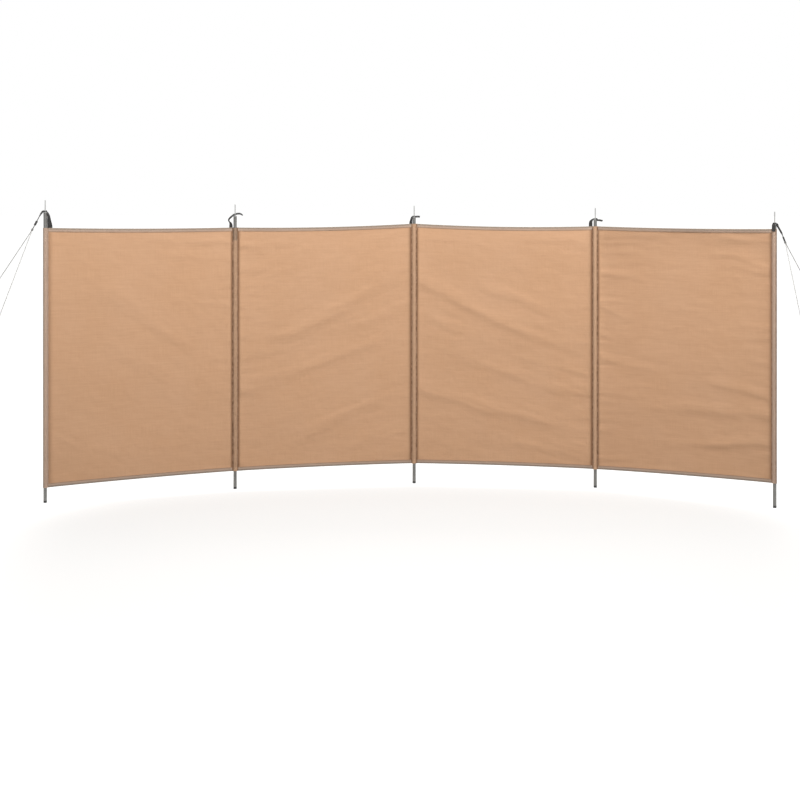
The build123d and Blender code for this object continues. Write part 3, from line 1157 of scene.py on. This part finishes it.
def strapRoute(post, place):
    rows = strapLines[post]
    line = [tuple(size * mm for size in row[:3]) for row in rows]
    wide = [row[4] * mm for row in rows]
    at = next(k for k, row in enumerate(rows) if row[0] == 0)
    across = Vector((math.copysign(1, rows[0][0]), 0, 0))   # from the left the tape twists the other way
    wides = []
    for k, row in enumerate(rows):
        past = max(0, k - at) / (len(rows) - 1 - at)
        roll = math.radians(strap["roll"] + (strap["tailRoll"] - strap["roll"]) * past)
        twist = math.radians(row[3])
        # The front edge hangs lower
        lying = Vector((0, math.cos(roll), math.sin(roll)))
        wides.append(tuple(across * math.cos(twist) + lying * math.sin(twist)))
    # The last strap starts on the front of its sleeve instead
    if post < lastPost:
        foot = sewnFoot(post, place)
        line = foot + line
        wides = [wides[0]] * len(foot) + wides
        wide = [wide[0]] * len(foot) + wide
        at += len(foot)
    return line, wides, wide, at


for post in range(postCount):
    place = (feet[post] + up * heads[post], *postAxes(post))
    piece = hookedBand(f"top_strap_{post + 1}_tape", place, *strapRoute(post, place))
    finishPiece(piece, webbingBlack, "webbing", f"top_strap_{post + 1}")
print("straps made")


# Guys: webbing loops on the end pins, dark leads with runners, laid ropes, wraps on the pegs

guy = {
    "thick": 4.0 * mm,
    "leadThick": 5.0 * mm,
    "strands": 3,
    "strandAt": 0.27,         # of the rope's thickness
    "strandHalf": 0.25,
    "lay": 15 * mm,           # length of one turn of the strands
    "perTurn": 8,
    "fewest": 12,             # rows along a short rope
    "sides": 6,
    "smooth": 70,
    "tuck": 3 * mm,           # of a rope's top, past the end of the CAD rope
    "leadTuck": 5 * mm,       # of a lead's lower end, in the knot
    "endSpan": 20 * mm,       # the ends of a CAD rope are found over this length
    "pegFoot": 2 * mm,
    "whippingAt": 3 * mm,
    "pegKnotAt": 30 * mm,     # above the peg
    "runnerTurn": {"left": 0, "right": 90},   # in degrees, round the lead
}
# Coils of cord: radius and pitch of the turns, their number, and the radius of the cord
coils = {
    "knot": (3.9 * mm, 3.2 * mm, 3.5, 2.0 * mm),
    "whipping": (2.9 * mm, 1.5 * mm, 5.5, 0.8 * mm),
    "pegKnot": (2.48 * mm, 3.4 * mm, 3.5, 1.5 * mm),
    "wrap": (5.3 * mm, 3.6 * mm, 2, 1.68 * mm),
}
coilSamples = 14   # to a turn
coilSides = 8
guyLoop = {
    "endWide": 10 * mm,       # of the webbing where it is sewn round the lead
    "roll": {"left": 34, "right": 10},   # in degrees
    "twist": {"left": 0.0, "right": 0.85},   # towards facing the front, as it hangs
    "flatPoints": 3,          # at first, on the pin
    # From the pin outwards, above the post's head, and the webbing's width, in mm
    "lines": {"left": [(-10, 5.0, 16), (0, 5.2, 16), (8, 4.8, 16), (14, 2.6, 16), (21, -6, 16)],
              "right": [(-10, 5.0, 16), (0, 5.2, 16), (7, 4.6, 16), (11.5, 1, 14), (16, -12, 11),
                        (25, -28, 10)]},
}


def crossFrame(way):
    side = way.cross(up)
    side = side.normalized() if side.length > 1e-4 else Vector((1, 0, 0))
    return side, side.cross(way).normalized()


def roundRows(line, radius, sides):
    # Rings of points round a line, turned as little as can be
    line = np.asarray(line, float)
    ways = tangents(line)
    first = np.array(crossFrame(Vector(ways[0]))[0])
    angles = np.arange(sides) * 2 * math.pi / sides
    rows, uvs = [], []
    for place, way, far in zip(line, ways, distances(line)):
        first = first - way * np.dot(first, way)
        first /= np.linalg.norm(first)
        second = np.cross(way, first)
        rows.append([place + radius * (math.cos(a) * first + math.sin(a) * second) for a in angles])
        uvs.append([(far, radius * a) for a in angles])
    return rows, uvs


def laidRope(name, top, end, thick):
    # Strands twisted round a straight line
    length = (end - top).length
    count = max(guy["fewest"], int(length / guy["lay"] * guy["perTurn"]))
    even = np.linspace(0, length, count)
    path = np.array(top) + even[:, None] * np.array((end - top).normalized())
    frames = np.array(roundRows(path, 1.0, 4)[0])
    first, second = frames[:, 0] - path, frames[:, 1] - path
    parts = []
    for strand in range(guy["strands"]):
        twist = 2 * math.pi * (even / guy["lay"] + strand / guy["strands"])[:, None]
        centre = path + thick * guy["strandAt"] * (np.cos(twist) * first + np.sin(twist) * second)
        rows, uvs = roundRows(centre, thick * guy["strandHalf"], guy["sides"])
        parts.append(skinRows(f"{name}_{strand}", rows, uvs))
    rope = joinInto(name, parts)
    smoothShade(rope, guy["smooth"])
    return rope


def coilPiece(name, kind, middle, axis, finish, slot, *replaced):
    radius, pitch, count, cord = coils[kind]
    first, second = crossFrame(axis)
    line = []
    for k in range(int(count * coilSamples) + 1):
        angle = 2 * math.pi * k / coilSamples
        rise = (k / coilSamples - count / 2) * pitch
        away = first * (radius * math.cos(angle)) + second * (radius * math.sin(angle))
        line.append(middle + away + axis * rise)
    piece = skinRows(name, *roundRows(line, cord, coilSides))
    smoothShade(piece, guy["smooth"])
    return finishPiece(piece, finish, slot, *replaced)


def ropeEnds(node):
    # The two ends of a straight CAD rope, top first
    points = np.array([v.co for v in nodes[node].data.vertices])
    way = points[points[:, 2].argmax()] - points[points[:, 2].argmin()]
    way /= np.linalg.norm(way)
    reach = points @ way
    upper = points[reach > reach.max() - guy["endSpan"]].mean(0)
    lower = points[reach < reach.min() + guy["endSpan"]].mean(0)
    return Vector(upper), Vector(lower)


def pegFoot(node):
    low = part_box(node)[0].z
    return np.mean([v.co for v in nodes[node].data.vertices if v.co.z < low + guy["pegFoot"]], 0)


# The runner: a rounded bar, waisted, with a bore for the lead and a hole through each end

runner = {
    "size": (12 * mm, 8 * mm, 26 * mm),
    "cuts": 3,
    "waist": 0.82,
    "waistSpan": 0.1 * mm,    # points this near to the middle are drawn in
    "edge": 1.8 * mm,
    "edgeSteps": 3,
    "edgeAngle": 60,
    "smooth": 35,
    "bore": 2.65 * mm,
    "borePunch": 40 * mm,
    "eye": 1.14 * mm,
    "eyePunch": 20 * mm,
    "eyeAside": 4.2 * mm,
    "eyeAt": 9 * mm,
}
clearSelection()
bpy.ops.mesh.primitive_cube_add(size=1)
runnerModel = bpy.context.object
stretch(runnerModel, runner["size"])
openMesh(runnerModel)
bpy.ops.mesh.subdivide(number_cuts=runner["cuts"])
closeMesh()
for vertex in runnerModel.data.vertices:
    if abs(vertex.co.z) < runner["waistSpan"]:
        vertex.co.x *= runner["waist"]
rounding = runnerModel.modifiers.new("rounding", "BEVEL")
rounding.width = runner["edge"]
rounding.segments = runner["edgeSteps"]
rounding.limit_method = "ANGLE"
rounding.angle_limit = math.radians(runner["edgeAngle"])
applyModifiers(runnerModel)
punchHole(runnerModel, (0, 0, 0), (0, 0, 1), runner["bore"], runner["borePunch"])
for end in (-1, 1):
    eyePlace = (runner["eyeAside"], 0, end * runner["eyeAt"])
    punchHole(runnerModel, eyePlace, (0, 1, 0), runner["eye"], runner["eyePunch"])
smoothShade(runnerModel, runner["smooth"])


def runnerAt(name, middle, way, turned):
    piece = runnerModel.copy()
    piece.data = runnerModel.data.copy()
    piece.name = name
    bpy.context.scene.collection.objects.link(piece)
    side = way.cross(up).normalized()
    lie = Matrix((side.cross(way), side, way)).transposed().to_4x4()
    piece.matrix_world = Matrix.Translation(middle) @ lie @ Matrix.Rotation(math.radians(turned), 4, "Z")
    settle(piece)
    return piece


def webbingLoop(end, post, leadTop):
    # An eyelet on the pin and a tongue down the pull of the lead
    pin = feet[post] + up * heads[post]
    tongue = leadTop - pin
    level = Vector((tongue.x, tongue.y, 0))
    rows = guyLoop["lines"][end]
    line = [(row[0] * mm, 0, row[1] * mm) for row in rows] + [(level.length, 0, tongue.z)]
    wide = [row[2] * mm for row in rows] + [guyLoop["endWide"]]
    place = (pin, level.normalized(), up.cross(level.normalized()))
    forward = place[2] * (1 if place[2].y < 0 else -1)
    roll = math.radians(guyLoop["roll"][end])
    lying = forward * math.cos(roll) - up * math.sin(roll)
    hanging = lying.lerp(Vector((1, 0, 0)), guyLoop["twist"][end])
    wides = [lying] * guyLoop["flatPoints"] + [lying.lerp(hanging, 0.5)]
    wides += [hanging] * (len(line) - len(wides))
    wides = [(w.dot(place[1]), w.dot(place[2]), w.z) for w in wides]
    piece = hookedBand(f"guy_loop_{end}_tape", place, line, wides, wide, 1)
    finishPiece(piece, webbingBlack, "webbing", f"guy_loop_{end}")


def lowerGuy(guyName, pegName):
    # A pale rope, with a barrel knot above its peg and turns round it
    upper, lower = ropeEnds(guyName)
    way = (lower - upper).normalized()
    rope = laidRope(f"{guyName}_rope", upper - way * guy["tuck"], lower, guy["thick"])
    finishPiece(rope, ropePale, "guy_rope", guyName)
    coilPiece(f"{guyName}_peg_knot", "pegKnot", lower - way * guy["pegKnotAt"], way, ropePale, "guy_rope")
    x, y = pegFoot(pegName)[:2]
    coilPiece(f"{guyName}_wrap", "wrap", Vector((x, y, lower.z)), up, ropePale, "guy_rope")


for end, post in (("left", 0), ("right", lastPost)):
    leadTop, leadEnd = ropeEnds(f"guy_lead_{end}")
    pull = (leadEnd - leadTop).normalized()
    leadSpan = leadTop - pull * guy["tuck"], leadEnd + pull * guy["leadTuck"]
    lead = laidRope(f"guy_lead_{end}_cord", *leadSpan, guy["leadThick"])
    finishPiece(lead, leadDark, "guy_lead", f"guy_lead_{end}")
    bar = runnerAt(f"runner_{end}_bar", middleOf(f"runner_{end}"), pull, guy["runnerTurn"][end])
    finishPiece(bar, runnerPlastic, "runner_plastic", f"runner_{end}")
    # The knot where the lead ends and the two ropes part
    knotNode = f"guy_knot_{end}"
    coilPiece(f"{knotNode}_turns", "knot", middleOf(knotNode), pull, knotGrey, "guy_lead", knotNode)
    whippingPlace = leadTop + pull * guy["whippingAt"]
    coilPiece(f"guy_lead_{end}_whipping", "whipping", whippingPlace, pull, leadDark, "guy_lead")
    for side in ("back", "front"):
        lowerGuy(f"guy_{end}_{side}", f"peg_{end}_{side}")
    webbingLoop(end, post, leadTop)
bpy.data.objects.remove(runnerModel)
print("guys made")


# Floor, light and camera

stage = {
    "floor": 400.0,
    "floorShade": (0.30, 0.295, 0.285, 1),
    "floorRough": 0.9,
    "nearLift": 0.60,         # a weaker glow in front of the cloth, where the shadow is seen: the cast shadow shows, and the floor there is painted darker as well
    "farLift": 0.95,
    "sides": (1.3, 2.5),      # the lift grows between these distances, to the sides, the back and the front
    "back": (-0.7, 0.35),
    "front": (1.6, 4.6),
    "curve": 0.15,            # how the row of posts bends to the front
    "ambient": 0.36,
    "white": 1.0,             # of the background, as it is seen
}


def seenRay(tree, *kinds):
    # 1 where the ray is of one of these kinds
    path = addNode(tree, "ShaderNodeLightPath")
    seen = path.outputs[kinds[0]]
    for kind in kinds[1:]:
        seen = mathNode(tree, "MAXIMUM", seen, path.outputs[kind])
    return seen


clearSelection()
bpy.ops.mesh.primitive_plane_add(size=stage["floor"], location=(0, 0, 0))
floor = bpy.context.object
floor.name = "floor"
settle(floor)
paper, tree, shader = newFinish("floorPaper")
setSockets(tree, shader, {
    "Base Color": stage["floorShade"],
    "Roughness": stage["floorRough"],
    "Specular IOR Level": 0.0,
})
# The glow is weaker in front of the cloth: painted shade on the floor there, round its real cast shadow
spot = addNode(tree, "ShaderNodeSeparateXYZ", {0: objectPlace(tree)})
aside = mathNode(tree, "ABSOLUTE", spot.outputs[0])
bend = mathNode(tree, "MULTIPLY", mathNode(tree, "MULTIPLY", aside, aside), stage["curve"])
behind = mathNode(tree, "ADD", spot.outputs[1], bend)
ahead = mathNode(tree, "MULTIPLY", spot.outputs[1], -1)
white = 0
for distance, reach in ((aside, stage["sides"]), (behind, stage["back"]), (ahead, stage["front"])):
    far = spread(tree, distance, reach, whole)
    white = mathNode(tree, "ADD", mathNode(tree, "MULTIPLY", far, far), white)
lift = spread(tree, white, whole, (stage["nearLift"], stage["farLift"]), "SMOOTHSTEP")
seen = seenRay(tree, "Is Camera Ray", "Is Glossy Ray")
glow = addNode(tree, "ShaderNodeEmission", {"Strength": mathNode(tree, "MULTIPLY", seen, lift)})
both = addNode(tree, "ShaderNodeAddShader", {0: shader.outputs[0], 1: glow.outputs[0]})
feed(tree, tree.nodes["Material Output"].inputs["Surface"], both.outputs[0])
floor.data.materials.append(paper)

world = bpy.data.worlds.new("studio")
bpy.context.scene.world = world
world.use_nodes = True
tree = world.node_tree
seen = seenRay(tree, "Is Camera Ray", "Is Glossy Ray", "Is Transmission Ray")
setSockets(tree, tree.nodes["Background"], {
    "Color": (1, 1, 1, 1),
    "Strength": spread(tree, seen, whole, (stage["ambient"], stage["white"])),
})

# Place, aim, size and watts of each lamp
lamps = {
    "keySoftbox": ((0.4, -3.0, 4.0), (0, -0.2, 1.0), (7.0, 1.4), 260),
    "backSoftbox": ((0, 3.2, 4.4), (0, -0.6, 0.2), (7.0, 2.0), 190),
}
for name, (place, aim, size, watts) in lamps.items():
    bpy.ops.object.light_add(type="AREA", location=place)
    lamp = bpy.context.object
    lamp.name = name
    lamp.rotation_euler = facing(Vector(aim) - Vector(place), "-Z")
    lamp.data.shape = "RECTANGLE"
    lamp.data.size, lamp.data.size_y = size
    lamp.data.energy = watts

view = {
    "place": (-0.083, -8.21, 1.631),
    "turn": (math.radians(90), 0, 0),
    "lens": 63.0,
    "sensor": 36,
    "shiftY": -0.2439,
    "far": 200,
}
bpy.ops.object.camera_add(location=view["place"], rotation=view["turn"])
camera = bpy.context.object
camera.data.lens = view["lens"]
camera.data.sensor_width = view["sensor"]
camera.data.shift_y = view["shiftY"]
camera.data.clip_end = view["far"]
bpy.context.scene.camera = camera
bpy.context.scene.view_settings.view_transform = "Standard"
print("stage set")
